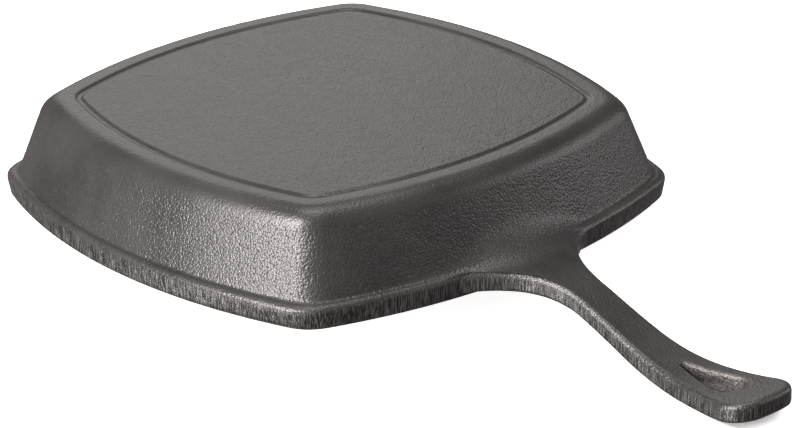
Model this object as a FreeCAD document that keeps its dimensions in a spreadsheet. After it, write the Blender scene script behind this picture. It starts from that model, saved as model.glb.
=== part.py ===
"""Square cast iron skillet, one iron casting, lying upside down on its rim.

The origin is the centre of the pan in the plane of the rim. +Z points out of the base, so the
cooking well opens towards -Z, and +X runs along the handle. All sizes are in millimetres.
"""
import math
import os

import FreeCAD
import Part
import Sketcher

V = FreeCAD.Vector
UPWARDS = V(0, 0, 1)

# a sketch's own names for its origin, its axes and the points of an edge
ORIGIN = (-1, 1)
X_AXIS = -1
Y_AXIS = -2
START = 1
END = 2
CENTRE = 3

# two heights, or a slope and the vertical, that differ by less than this are the same
NEAR = 0.02

SIZES = {
    # pan outline: a square whose sides bow outwards and whose corners are rounded
    "pan_side": 267.0,
    "pan_depth": 48.5,
    "rim_bow_radius": 291.0,
    "rim_corner_radius": 20.0,
    "bead_bow_radius": 312.0,
    # rim: a ground edge, a rounded bead above it, then the foot of the wall
    "ground_edge_height": 7.5,
    "flange_height": 11.0,
    "bead_round": 2.6,
    "foot_setback": 4.0,
    "foot_bow_radius": 289.0,
    "foot_corner_radius": 20.0,
    "foot_round": 1.6,
    # wall, base plate and cooking well
    "wall_flare": 12.5,
    "base_bow_radius": 255.0,
    "base_corner_radius": 18.0,
    "base_edge_round": 11.0,
    "wall_thickness": 4.2,
    "floor_thickness": 4.5,
    "well_edge_round": 8.0,
    # groove round the outer face of the base plate
    "groove_setback": 15.3,
    "groove_bow_radius": 242.0,
    "groove_corner_radius": 13.0,
    "groove_round": 2.4,
    "groove_depth": 1.1,
    # handle from the side: level at the root, an S-curve down, then up again to the tip
    "handle_length": 150.5,
    "handle_thickness": 9.0,
    "handle_embed": 14.0,
    "root_top_height": 10.6,
    "root_level": 9.0,
    "handle_drop": 21.8,
    "tip_rise_run": 42.0,
    "tip_rise_radius": 185.0,
    "swan_steepness": 0.8,
    # handle seen from above: flared root, neck, then widening to the paddle end
    "root_bite": 1.0,
    "root_flare_radius": 47.0,
    "neck_half_width": 9.9,
    "paddle_half_width": 18.8,
    "tip_corner_radius": 13.0,
    "tip_end_radius": 70.0,
    "handle_top_round": 3.2,
    "handle_under_round": 1.0,
    # saddle that carries the wall into the top of the handle
    "saddle_half_width": 26.0,
    "saddle_radius": 24.0,
    "saddle_end_radius": 3.0,
    # teardrop hanging hole
    "hole_round_radius": 8.4,
    "hole_tip_wall": 18.0,
    "hole_length": 37.0,
    "hole_point_radius": 1.2,
    "hole_edge_round": 1.2,
    # how far the sketches of the cuts reach beyond the iron
    "cut_margin": 8.0,
}


# ---- expressions that several sketches share -------------------------------------------------
PAN_HALF = "sizes.pan_side / 2"
FOOT_HALF = f"({PAN_HALF} - sizes.foot_setback)"
BASE_HALF = f"({FOOT_HALF} - sizes.wall_flare)"
GROOVE_HALF = f"({BASE_HALF} - sizes.groove_setback)"
WALL_SLOPE = "(sizes.wall_flare / (sizes.pan_depth - sizes.flange_height))"
WALL_ACROSS = f"(sizes.wall_thickness * sqrt(1 + {WALL_SLOPE}^2))"
WELL_DEPTH = "(sizes.pan_depth - sizes.floor_thickness)"
ROOT_X = f"({PAN_HALF} - sizes.handle_embed)"
BEND_X = f"({PAN_HALF} + sizes.root_level)"
TIP_X = f"({PAN_HALF} + sizes.handle_length)"
LOW_X = f"({TIP_X} - sizes.tip_rise_run)"
# the ledge above the bead holds both roundings side by side, so each keeps to its share of it
BEAD_SHARE = "0.65 * sizes.foot_setback"
FOOT_SHARE = "0.4 * sizes.foot_setback"


def make_sheet(doc):
    """Put every driving size into a spreadsheet, one alias to a row."""
    sheet = doc.addObject("Spreadsheet::Sheet", "sizes")
    for row, (name, value) in enumerate(SIZES.items(), start=1):
        sheet.set(f"A{row}", name)
        sheet.set(f"B{row}", str(value))
        sheet.setAlias(f"B{row}", name)
    doc.recompute()
    return sheet


def origin_plane(body, role):
    """Return the body's own origin plane with this role."""
    return next(feature for feature in body.Origin.OriginFeatures if feature.Role == role)


def new_sketch(body, name, role="XY_Plane", offset=None):
    """Add a sketch on an origin plane, moved along the plane's normal by an expression."""
    sketch = body.newObject("Sketcher::SketchObject", name)
    sketch.AttachmentSupport = (origin_plane(body, role), [""])
    sketch.MapMode = "FlatFace"
    if offset:
        sketch.setExpression("AttachmentOffset.Base.z", offset)
    return sketch


def number(sketch, expression):
    """Return the present value of an expression as a plain float."""
    value = sketch.evalExpression(expression)
    return float(getattr(value, "Value", value))


def arc(x, y, radius, start, end):
    """Return a counter-clockwise arc round (x, y) from one angle to another, in radians."""
    return Part.ArcOfCircle(Part.Circle(V(x, y, 0), UPWARDS, radius), start, end)


def line(x1, y1, x2, y2):
    """Return a straight sketch edge."""
    return Part.LineSegment(V(x1, y1, 0), V(x2, y2, 0))


def rule(sketch, kind, *where):
    """Add a constraint that needs no size."""
    sketch.addConstraint(Sketcher.Constraint(kind, *where))


def drive(sketch, name, kind, *where, by):
    """Add a named sizing constraint and bind it to an expression."""
    index = sketch.addConstraint(Sketcher.Constraint(kind, *where, number(sketch, by)))
    sketch.renameConstraint(index, name)
    sketch.setExpression(f"Constraints.{name}", by)


def bowed_square(body, name, half, bow, corner, height):
    """Sketch a square with four bowed sides and four corner arcs, each tangent to the next.

    half is the distance from the centre to the middle of a side, bow the radius of a side and
    corner the radius of a corner; all are expressions, as is the height of the sketch.
    """
    sketch = new_sketch(body, name, offset=height)
    size, big, small = (number(sketch, text) for text in (half, bow, corner))
    inset = size - big
    reach = (inset + math.sqrt(2 * (big - small) ** 2 - inset ** 2)) / 2
    swing = math.atan2(reach, reach - inset)
    quarter = math.pi / 2
    for turn in range(4):
        angle = turn * quarter
        x, y = round(math.cos(angle)), round(math.sin(angle))
        side_ends = (angle - swing, angle + swing)
        bend_ends = (angle + swing, angle + quarter - swing)
        sketch.addGeometry(arc(inset * x, inset * y, big, *side_ends))
        sketch.addGeometry(arc(reach * (x - y), reach * (y + x), small, *bend_ends))
    for turn in range(4):
        side, bend, following = 2 * turn, 2 * turn + 1, (2 * turn + 2) % 8
        rule(sketch, "Tangent", side, END, bend, START)
        rule(sketch, "Tangent", bend, END, following, START)
        rule(sketch, "PointOnObject", side, CENTRE, Y_AXIS if turn % 2 else X_AXIS)
        kind = "DistanceY" if turn % 2 else "DistanceX"
        ends = (side, CENTRE, *ORIGIN) if turn < 2 else (*ORIGIN, side, CENTRE)
        drive(sketch, f"centre_{turn}", kind, *ends, by=f"{bow} - {half}")
        if turn:
            rule(sketch, "Equal", 0, side)
            rule(sketch, "Equal", 1, bend)
    drive(sketch, "bow", "Radius", 0, by=bow)
    drive(sketch, "corner", "Radius", 1, by=corner)
    return sketch


def loft(body, kind, name, lower, upper):
    """Join two outlines with ruled walls, adding or removing iron."""
    feature = body.newObject(f"PartDesign::{kind}", name)
    feature.Profile = lower
    feature.Sections = [upper]
    feature.Ruled = True
    return feature


def fillet(body, name, base, edges, radius):
    """Round the given edges of a feature; the radius is an expression."""
    feature = body.newObject("PartDesign::Fillet", name)
    feature.Base = (base, edges)
    feature.setExpression("Radius", radius)
    return feature


def side_profile(body):
    """Sketch the handle from the side: two parallel S-curves of the same thickness.

    Each S-curve leaves the root level, bends down, runs straight, bends level again at the low
    point and rises gently to the tip. The upper and lower arcs share their centres.
    """
    sketch = new_sketch(body, "handle_side", role="XZ_Plane")
    top, thick = "sizes.root_top_height", "sizes.handle_thickness"
    run = f"({LOW_X} - {BEND_X})"
    tilt = f"(sizes.swan_steepness * 2 * atan(sizes.handle_drop / {run}))"
    swan = f"(({run} * sin({tilt}) - sizes.handle_drop * cos({tilt})) / (2 * (1 - cos({tilt}))))"
    end_x = f"{TIP_X} + sizes.cut_margin"

    def value(text):
        return number(sketch, text)

    root_x, bend_x, low_x, stop_x = value(ROOT_X), value(BEND_X), value(LOW_X), value(end_x)
    high, deep, low = value(top), value(thick), value(f"{top} - sizes.handle_drop")
    radius, rise = value(swan), value("sizes.tip_rise_radius")
    lean = math.radians(value(tilt))
    quarter = math.pi / 2
    climb = math.asin((stop_x - low_x) / rise)
    climb_under = math.asin((stop_x - low_x) / (rise + deep))

    def along(centre, size, angle):
        return centre[0] + size * math.cos(angle), centre[1] + size * math.sin(angle)

    bend = (bend_x, high - radius)
    dip = (low_x, low + radius)
    lift = (low_x, low + rise)
    leave, meet = quarter - lean, 3 * quarter - lean
    tip_top = along(lift, rise, 3 * quarter + climb)
    tip_under = along(lift, rise + deep, 3 * quarter + climb_under)
    for edge in (
        line(root_x, high, bend_x, high),
        arc(*bend, radius, leave, quarter),
        line(*along(bend, radius, leave), *along(dip, radius, meet)),
        arc(*dip, radius, meet, 3 * quarter),
        arc(*lift, rise, 3 * quarter, 3 * quarter + climb),
        line(*tip_top, *tip_under),
        arc(*lift, rise + deep, 3 * quarter, 3 * quarter + climb_under),
        arc(*dip, radius + deep, meet, 3 * quarter),
        line(*along(bend, radius - deep, leave), *along(dip, radius + deep, meet)),
        arc(*bend, radius - deep, leave, quarter),
        line(bend_x, high - deep, root_x, high - deep),
        line(root_x, high - deep, root_x, high),
    ):
        sketch.addGeometry(edge)
    root_top, bend_top, slope_top, dip_top, lift_top, tip_face = range(6)
    lift_under, dip_under, slope_under, bend_under, root_under, root_face = range(6, 12)
    rule(sketch, "Horizontal", root_top)
    rule(sketch, "Tangent", root_top, END, bend_top, END)
    rule(sketch, "Tangent", bend_top, START, slope_top, START)
    rule(sketch, "Tangent", slope_top, END, dip_top, START)
    rule(sketch, "Tangent", dip_top, END, lift_top, START)
    rule(sketch, "Vertical", dip_top, END, dip_top, CENTRE)
    rule(sketch, "Equal", bend_top, dip_top)
    rule(sketch, "Coincident", lift_top, END, tip_face, START)
    rule(sketch, "Vertical", tip_face)
    rule(sketch, "Coincident", lift_under, CENTRE, lift_top, CENTRE)
    rule(sketch, "Vertical", lift_under, START, lift_under, CENTRE)
    rule(sketch, "Coincident", lift_under, END, tip_face, END)
    rule(sketch, "Coincident", dip_under, CENTRE, dip_top, CENTRE)
    rule(sketch, "Coincident", dip_under, END, lift_under, START)
    rule(sketch, "Tangent", dip_under, START, slope_under, END)
    rule(sketch, "Coincident", bend_under, CENTRE, bend_top, CENTRE)
    rule(sketch, "Vertical", bend_under, END, bend_under, CENTRE)
    rule(sketch, "Tangent", bend_under, START, slope_under, START)
    rule(sketch, "Coincident", bend_under, END, root_under, START)
    rule(sketch, "Horizontal", root_under)
    rule(sketch, "Coincident", root_under, END, root_face, START)
    rule(sketch, "Coincident", root_face, END, root_top, START)
    rule(sketch, "Vertical", root_face)
    drive(sketch, "root_x", "DistanceX", *ORIGIN, root_top, START, by=ROOT_X)
    drive(sketch, "root_top", "DistanceY", *ORIGIN, root_top, START, by=top)
    drive(sketch, "bend_x", "DistanceX", *ORIGIN, bend_top, CENTRE, by=BEND_X)
    drive(sketch, "swan_radius", "Radius", bend_top, by=swan)
    drive(sketch, "low_x", "DistanceX", *ORIGIN, dip_top, CENTRE, by=LOW_X)
    drive(sketch, "drop", "DistanceY", dip_top, END, root_top, END, by="sizes.handle_drop")
    drive(sketch, "tip_rise", "Radius", lift_top, by="sizes.tip_rise_radius")
    drive(sketch, "end_x", "DistanceX", *ORIGIN, tip_face, START, by=end_x)
    drive(sketch, "thick_low", "DistanceY", lift_under, START, lift_top, START, by=thick)
    drive(sketch, "thick_root", "DistanceY", bend_under, END, bend_top, END, by=thick)
    return sketch


def half_surround(body):
    """Sketch the space beside the +Y half of the handle, seen from above.

    Its inner border is the handle's outline: a flare that leaves the rim, the neck, the long
    widening side, the tip corner and the bowed end.
    """
    sketch = new_sketch(body, "handle_surround")
    rim_centre = f"({PAN_HALF} - sizes.rim_bow_radius)"
    rim_reach = "(sizes.rim_bow_radius - sizes.root_bite)"
    flare_y = "(sizes.neck_half_width + sizes.root_flare_radius)"
    flare_span = f"({rim_reach} + sizes.root_flare_radius)"
    neck_x = f"({rim_centre} + sqrt({flare_span}^2 - {flare_y}^2))"
    flare_start_y = f"({flare_y} * {rim_reach} / {flare_span})"
    corner_y = "(sizes.paddle_half_width - sizes.tip_corner_radius)"
    outer_y = f"({flare_y} + sizes.cut_margin)"
    outer_x = f"({TIP_X} + 2 * sizes.cut_margin)"

    def value(text):
        return number(sketch, text)

    tip, end_radius = value(TIP_X), value("sizes.tip_end_radius")
    corner, flare = value("sizes.tip_corner_radius"), value("sizes.root_flare_radius")
    neck, neck_half = value(neck_x), value("sizes.neck_half_width")
    root_x, start_y, mid_y = value(ROOT_X), value(flare_start_y), value(corner_y)
    far_x, far_y = value(outer_x), value(outer_y)
    end_x = tip - end_radius
    mid_x = end_x + math.sqrt((end_radius - corner) ** 2 - mid_y ** 2)
    turn = math.atan2(mid_y, mid_x - end_x)
    gap = mid_y - neck_half
    side = ((mid_x - neck) ** 2 + gap ** 2 - corner ** 2) / (2 * (corner + gap))
    lean = math.atan2(mid_x - neck, neck_half + side - mid_y)
    quarter = math.pi / 2
    open_angle = math.acos((neck_half + flare - start_y) / flare)
    start_x = neck - flare * math.sin(open_angle)
    for edge in (
        arc(end_x, 0, end_radius, 0, turn),
        arc(mid_x, mid_y, corner, turn, quarter + lean),
        arc(neck, neck_half + side, side, 3 * quarter, 3 * quarter + lean),
        arc(neck, neck_half + flare, flare, 3 * quarter - open_angle, 3 * quarter),
        line(start_x, start_y, root_x, start_y),
        line(root_x, start_y, root_x, far_y),
        line(root_x, far_y, far_x, far_y),
        line(far_x, far_y, far_x, 0),
        line(far_x, 0, tip, 0),
    ):
        sketch.addGeometry(edge)
    tip_end, tip_corner, long_side, root_flare, step, root_edge, far_side, far_end, seam = range(9)
    rule(sketch, "PointOnObject", tip_end, CENTRE, X_AXIS)
    rule(sketch, "PointOnObject", tip_end, START, X_AXIS)
    rule(sketch, "Tangent", tip_end, END, tip_corner, START)
    rule(sketch, "Tangent", tip_corner, END, long_side, END)
    rule(sketch, "Tangent", long_side, START, root_flare, END)
    rule(sketch, "Vertical", root_flare, END, root_flare, CENTRE)
    rule(sketch, "Coincident", root_flare, START, step, START)
    rule(sketch, "Horizontal", step)
    rule(sketch, "Coincident", step, END, root_edge, START)
    rule(sketch, "Vertical", root_edge)
    rule(sketch, "Coincident", root_edge, END, far_side, START)
    rule(sketch, "Horizontal", far_side)
    rule(sketch, "Coincident", far_side, END, far_end, START)
    rule(sketch, "Vertical", far_end)
    rule(sketch, "Coincident", far_end, END, seam, START)
    rule(sketch, "Horizontal", seam)
    rule(sketch, "Coincident", seam, END, tip_end, START)
    drive(sketch, "tip_x", "DistanceX", *ORIGIN, tip_end, START, by=TIP_X)
    drive(sketch, "end_radius", "Radius", tip_end, by="sizes.tip_end_radius")
    drive(sketch, "corner_radius", "Radius", tip_corner, by="sizes.tip_corner_radius")
    drive(sketch, "corner_y", "DistanceY", *ORIGIN, tip_corner, CENTRE, by=corner_y)
    drive(sketch, "neck_x", "DistanceX", *ORIGIN, root_flare, CENTRE, by=neck_x)
    drive(sketch, "neck_y", "DistanceY", *ORIGIN, root_flare, END, by="sizes.neck_half_width")
    drive(sketch, "flare_radius", "Radius", root_flare, by="sizes.root_flare_radius")
    drive(sketch, "flare_start", "DistanceY", *ORIGIN, root_flare, START, by=flare_start_y)
    drive(sketch, "root_x", "DistanceX", *ORIGIN, step, END, by=ROOT_X)
    drive(sketch, "outer_y", "DistanceY", *ORIGIN, far_side, START, by=outer_y)
    drive(sketch, "outer_x", "DistanceX", *ORIGIN, far_end, START, by=outer_x)
    return sketch


def teardrop(body):
    """Sketch the hanging hole: a round end towards the tip and a point towards the pan."""
    sketch = new_sketch(body, "hole_outline")
    round_x = f"({TIP_X} - sizes.hole_tip_wall - sizes.hole_round_radius)"
    point_x = f"({round_x} + sizes.hole_round_radius - sizes.hole_length + sizes.hole_point_radius)"
    big_x, small_x = number(sketch, round_x), number(sketch, point_x)
    big, small = (number(sketch, f"sizes.hole_{end}_radius") for end in ("round", "point"))
    swing = math.acos(-(big - small) / (big_x - small_x))
    across, up = math.cos(swing), math.sin(swing)
    sketch.addGeometry(arc(big_x, 0, big, -swing, swing))
    sketch.addGeometry(line(big_x + big * across, big * up, small_x + small * across, small * up))
    sketch.addGeometry(arc(small_x, 0, small, swing, 2 * math.pi - swing))
    sketch.addGeometry(line(small_x + small * across, -small * up, big_x + big * across, -big * up))
    rule(sketch, "Tangent", 0, END, 1, START)
    rule(sketch, "Tangent", 1, END, 2, START)
    rule(sketch, "Tangent", 2, END, 3, START)
    rule(sketch, "Tangent", 3, END, 0, START)
    rule(sketch, "PointOnObject", 0, CENTRE, X_AXIS)
    rule(sketch, "PointOnObject", 2, CENTRE, X_AXIS)
    drive(sketch, "round_x", "DistanceX", *ORIGIN, 0, CENTRE, by=round_x)
    drive(sketch, "point_x", "DistanceX", *ORIGIN, 2, CENTRE, by=point_x)
    drive(sketch, "round_radius", "Radius", 0, by="sizes.hole_round_radius")
    drive(sketch, "point_radius", "Radius", 2, by="sizes.hole_point_radius")
    return sketch


def saddle_section(body, name, aside, radius, mirrored=False):
    """Sketch one section of the web between the wall and the level top of the handle.

    The section stands at the distance aside from the middle of the handle. Its concave arc is
    tangent to the handle's top and to the wall, which bows inwards away from the middle.
    """
    sketch = new_sketch(body, name, role="XZ_Plane", offset=f"-({aside})" if mirrored else aside)
    bow_in = f"(sizes.foot_bow_radius - sqrt(sizes.foot_bow_radius^2 - ({aside})^2))"
    foot = f"{FOOT_HALF} - {bow_in} + {WALL_SLOPE} * (sizes.flange_height - sizes.root_top_height)"
    slant = f"sqrt(1 + {WALL_SLOPE}^2)"
    reach = f"({radius} * ({slant} - {WALL_SLOPE}))"
    lean = f"{reach} * {WALL_SLOPE} / {slant}"
    foot_x, top, size = (number(sketch, text) for text in (foot, "sizes.root_top_height", radius))
    out, wall_x = number(sketch, reach), foot_x - number(sketch, lean)
    wall_z = top + number(sketch, f"{reach} / {slant}")
    inner_x = number(sketch, ROOT_X)
    slope = math.atan(number(sketch, WALL_SLOPE))
    sketch.addGeometry(arc(foot_x + out, top + size, size, math.pi + slope, 1.5 * math.pi))
    sketch.addGeometry(line(foot_x + out, top, inner_x, top))
    sketch.addGeometry(line(inner_x, top, wall_x, wall_z))
    sketch.addGeometry(line(foot_x, top, wall_x, wall_z))
    hollow, level, back, wall_line = range(4)
    sketch.toggleConstruction(wall_line)
    rule(sketch, "Coincident", hollow, END, level, START)
    rule(sketch, "Vertical", hollow, END, hollow, CENTRE)
    rule(sketch, "Horizontal", level)
    rule(sketch, "Coincident", level, END, back, START)
    rule(sketch, "Coincident", back, END, hollow, START)
    rule(sketch, "PointOnObject", wall_line, START, level)
    rule(sketch, "Tangent", wall_line, END, hollow, START)
    drive(sketch, "top", "DistanceY", *ORIGIN, level, END, by="sizes.root_top_height")
    drive(sketch, "inner_x", "DistanceX", *ORIGIN, level, END, by=ROOT_X)
    drive(sketch, "radius", "Radius", hollow, by=radius)
    drive(sketch, "foot_x", "DistanceX", *ORIGIN, wall_line, START, by=foot)
    drive(sketch, "lean", "DistanceX", wall_line, END, wall_line, START, by=lean)
    return sketch


def edges_where(feature, wanted):
    """Return the names of a feature's edges that pass a test on (edge, its two faces)."""
    shape = feature.Shape
    names = []
    for index, edge in enumerate(shape.Edges, start=1):
        faces = shape.ancestorsOfType(edge, Part.Face)
        if len(faces) == 2 and wanted(edge, faces):
            names.append(f"Edge{index}")
    return names


def middle(edge):
    """Return the point half way along an edge."""
    return edge.valueAt((edge.FirstParameter + edge.LastParameter) / 2)


def lift_of(face, point):
    """Return the vertical part of a face's outward normal at a point."""
    u, v = face.Surface.parameter(point)
    return face.normalAt(u, v).z


def pad_both_ways(body, name, sketch, half_width):
    """Pad a sketch by the same amount to both sides of its plane."""
    pad = body.newObject("PartDesign::Pad", name)
    pad.Profile = sketch
    pad.SideType = "Symmetric"
    pad.setExpression("Length", f"2 * {half_width}")


def cut_through(body, name, sketch):
    """Cut a sketch through everything on both sides of its plane."""
    pocket = body.newObject("PartDesign::Pocket", name)
    pocket.Profile = sketch
    pocket.SideType = "Symmetric"
    pocket.Type = "ThroughAll"
    return pocket


def build_pan(doc):
    """Make the outside of the pan as a solid block: rim, bead, wall, base plate and groove."""
    body = doc.addObject("PartDesign::Body", "pan_block")
    body.Label = "pan_block"
    rim = bowed_square(
        body,
        "rim_outline",
        half=PAN_HALF,
        bow="sizes.rim_bow_radius",
        corner="sizes.rim_corner_radius",
        height="0",
    )
    bead = bowed_square(
        body,
        "bead_outline",
        half=PAN_HALF,
        bow="sizes.bead_bow_radius",
        corner="sizes.rim_corner_radius",
        height="sizes.ground_edge_height",
    )
    loft(body, "AdditiveLoft", "ground_edge", rim, bead)
    flange = body.newObject("PartDesign::Pad", "bead_flange")
    flange.Profile = bead
    flange.setExpression("Length", "sizes.flange_height - sizes.ground_edge_height")
    doc.recompute()
    ledge = number(body, "sizes.flange_height")
    around = level_edges(flange, ledge)
    fillet(body, "bead_rounding", flange, around, f"min(sizes.bead_round; {BEAD_SHARE})")
    build_wall(doc, body, ledge)
    build_groove(body)
    doc.recompute()
    return body


def build_wall(doc, body, ledge):
    """Raise the flared wall from the ledge above the bead and round both of its ends."""
    foot = bowed_square(
        body,
        "foot_outline",
        half=FOOT_HALF,
        bow="sizes.foot_bow_radius",
        corner="sizes.foot_corner_radius",
        height="sizes.flange_height",
    )
    base = bowed_square(
        body,
        "base_outline",
        half=BASE_HALF,
        bow="sizes.base_bow_radius",
        corner="sizes.base_corner_radius",
        height="sizes.pan_depth",
    )
    wall = loft(body, "AdditiveLoft", "wall", foot, base)
    doc.recompute()
    plate = level_edges(wall, number(body, "sizes.pan_depth"))
    edge = fillet(body, "base_edge_rounding", wall, plate, "sizes.base_edge_round")
    doc.recompute()
    inner = edges_where(edge, lambda found, faces: is_foot(found, faces, ledge))
    fillet(body, "foot_fillet", edge, inner, f"min(sizes.foot_round; {FOOT_SHARE})")
    doc.recompute()


def is_foot(edge, faces, ledge):
    """Tell whether an edge is the corner between the level ledge and the steep wall."""
    point = middle(edge)
    steep, level = sorted(lift_of(face, point) for face in faces)
    return abs(point.z - ledge) < NEAR and NEAR < steep < 0.5 and level > 1 - NEAR


def build_groove(body):
    """Run the groove round the outer face of the base plate."""
    path = bowed_square(
        body,
        "groove_path",
        half=GROOVE_HALF,
        bow="sizes.groove_bow_radius",
        corner="sizes.groove_corner_radius",
        height="sizes.pan_depth",
    )
    section = new_sketch(body, "groove_section", role="XZ_Plane")
    lift = "sizes.pan_depth + sizes.groove_round - sizes.groove_depth"
    centre = V(number(section, GROOVE_HALF), number(section, lift), 0)
    section.addGeometry(Part.Circle(centre, UPWARDS, number(section, "sizes.groove_round")))
    drive(section, "across", "DistanceX", *ORIGIN, 0, CENTRE, by=GROOVE_HALF)
    drive(section, "up", "DistanceY", *ORIGIN, 0, CENTRE, by=lift)
    drive(section, "radius", "Radius", 0, by="sizes.groove_round")
    groove = body.newObject("PartDesign::SubtractivePipe", "base_groove")
    groove.Profile = section
    groove.Spine = (path, [])


def level_edges(feature, height):
    """Return the names of the edges that lie level at a height."""
    names = []
    for index, edge in enumerate(feature.Shape.Edges, start=1):
        box = edge.BoundBox
        if abs(box.ZMin - height) < NEAR and abs(box.ZMax - height) < NEAR:
            names.append(f"Edge{index}")
    return names


def build_well(doc):
    """Make the core that leaves the cooking well: a flared block with a rounded crown."""
    body = doc.addObject("PartDesign::Body", "well_core")
    body.Label = "well_core"
    mouth_half = f"({FOOT_HALF} + {WALL_SLOPE} * sizes.flange_height - {WALL_ACROSS})"
    crown_half = f"({FOOT_HALF} - {WALL_SLOPE} * ({WELL_DEPTH} - sizes.flange_height) - {WALL_ACROSS})"
    mouth = bowed_square(
        body,
        "mouth_outline",
        half=mouth_half,
        bow=f"sizes.foot_bow_radius - {WALL_ACROSS}",
        corner=f"sizes.foot_corner_radius - {WALL_ACROSS}",
        height="0",
    )
    crown = bowed_square(
        body,
        "crown_outline",
        half=crown_half,
        bow=f"sizes.base_bow_radius - {WALL_ACROSS}",
        corner=f"sizes.base_corner_radius - {WALL_ACROSS}",
        height=WELL_DEPTH,
    )
    core = loft(body, "AdditiveLoft", "well_block", crown, mouth)
    doc.recompute()
    crown_edges = level_edges(core, number(body, WELL_DEPTH))
    fillet(body, "well_crown_rounding", core, crown_edges, "sizes.well_edge_round")
    doc.recompute()
    return body


def build_handle(doc):
    """Make the handle: an S-shaped slab, trimmed to its outline, rounded and pierced."""
    body = doc.addObject("PartDesign::Body", "handle")
    body.Label = "handle"
    reach = "(sizes.neck_half_width + sizes.root_flare_radius + sizes.cut_margin / 2)"
    pad_both_ways(body, "handle_slab", side_profile(body), reach)
    doc.recompute()
    trim = cut_through(body, "handle_trim", half_surround(body))
    doc.recompute()
    mirror = body.newObject("PartDesign::Mirrored", "handle_trim_mirrored")
    mirror.Originals = [trim]
    mirror.MirrorPlane = (origin_plane(body, "XZ_Plane"), [""])
    body.Tip = mirror
    doc.recompute()
    root_x = number(body, ROOT_X)

    def side_edge(edge, faces, sign):
        point = middle(edge)
        upright, level = sorted(sign * lift_of(face, point) for face in faces)
        return abs(upright) < NEAR and level > 0.5 and point.x > root_x + NEAR

    upper = edges_where(mirror, lambda edge, faces: side_edge(edge, faces, 1))
    rounded = fillet(body, "handle_top_rounding", mirror, upper, "sizes.handle_top_round")
    doc.recompute()
    lower = edges_where(rounded, lambda edge, faces: side_edge(edge, faces, -1))
    fillet(body, "handle_under_rounding", rounded, lower, "sizes.handle_under_round")
    doc.recompute()
    hole = cut_through(body, "hanging_hole", teardrop(body))
    doc.recompute()
    first_x = number(body, f"{TIP_X} - sizes.hole_tip_wall - sizes.hole_length")
    widest = number(body, "sizes.hole_round_radius")

    def hole_edge(edge, faces):
        point = middle(edge)
        upright, level = sorted(abs(lift_of(face, point)) for face in faces)
        in_hole = point.x > first_x - NEAR and abs(point.y) < widest + NEAR
        return in_hole and upright < NEAR and level > 0.5

    rim = edges_where(hole, hole_edge)
    fillet(body, "hole_rounding", hole, rim, "sizes.hole_edge_round")
    doc.recompute()
    add_saddle(body)
    doc.recompute()
    return body


def add_saddle(body):
    """Loft the web that carries the wall into the handle, deepest in the middle."""
    aside = "sizes.saddle_half_width"
    one_side = saddle_section(body, "saddle_near", aside, "sizes.saddle_end_radius")
    centre = saddle_section(body, "saddle_middle", "0", "sizes.saddle_radius")
    far_side = saddle_section(body, "saddle_far", aside, "sizes.saddle_end_radius", mirrored=True)
    saddle = body.newObject("PartDesign::AdditiveLoft", "saddle")
    saddle.Profile = one_side
    saddle.Sections = [centre, far_side]
    return saddle


def check_document(doc):
    """Stop with a plain message if any feature failed or any sketch is left loose."""
    for thing in doc.Objects:
        if "Invalid" in thing.State or "Error" in thing.State:
            raise RuntimeError(f"{thing.Name} did not build: {thing.State}")
        if thing.TypeId == "Sketcher::SketchObject" and not thing.FullyConstrained:
            raise RuntimeError(f"{thing.Name} is not fully constrained")


def check_cut(doc, name):
    """Stop if a cutting feature left its body as large as it was."""
    feature = doc.getObject(name)
    if feature.Shape.Volume >= feature.BaseFeature.Shape.Volume - NEAR:
        raise RuntimeError(f"{name} cuts nothing")


def main():
    """Build the skillet, check it and write its STEP file."""
    doc = FreeCAD.newDocument("square_skillet")
    make_sheet(doc)
    iron = doc.addObject("Part::Fuse", "solid_iron")
    iron.Base = build_pan(doc)
    iron.Tool = build_handle(doc)
    casting = doc.addObject("Part::Cut", "skillet_casting")
    casting.Label = "skillet_casting"
    casting.Base = iron
    casting.Tool = build_well(doc)
    casting.Placement = FreeCAD.Placement()
    doc.recompute()
    check_document(doc)
    for name in ("base_groove", "handle_trim", "handle_trim_mirrored", "hanging_hole"):
        check_cut(doc, name)
    shape = casting.Shape
    if shape.isNull() or not shape.isValid() or len(shape.Solids) != 1:
        raise RuntimeError("the casting is not one valid solid")
    os.makedirs("parts", exist_ok=True)
    shape.exportStep(f"parts/{casting.Label}.step")
    print(f"{casting.Label}: {shape.Volume / 1000:.1f} cm3, {len(shape.Faces)} faces")


main()
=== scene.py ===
"""The visible side of a square cast iron skillet: its skin, its finish and the studio round it.

Everything is in metres, in the frame of the CAD model: the skillet lies upside down with the
plane of its rim at z = 0, +Z out of its base and +X along its handle.
"""

import logging
import math
from dataclasses import dataclass
from enum import Enum
from typing import Any, Iterable, Sequence

import bpy
import numpy as np
from mathutils import Matrix, Vector
from mathutils.kdtree import KDTree

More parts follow.
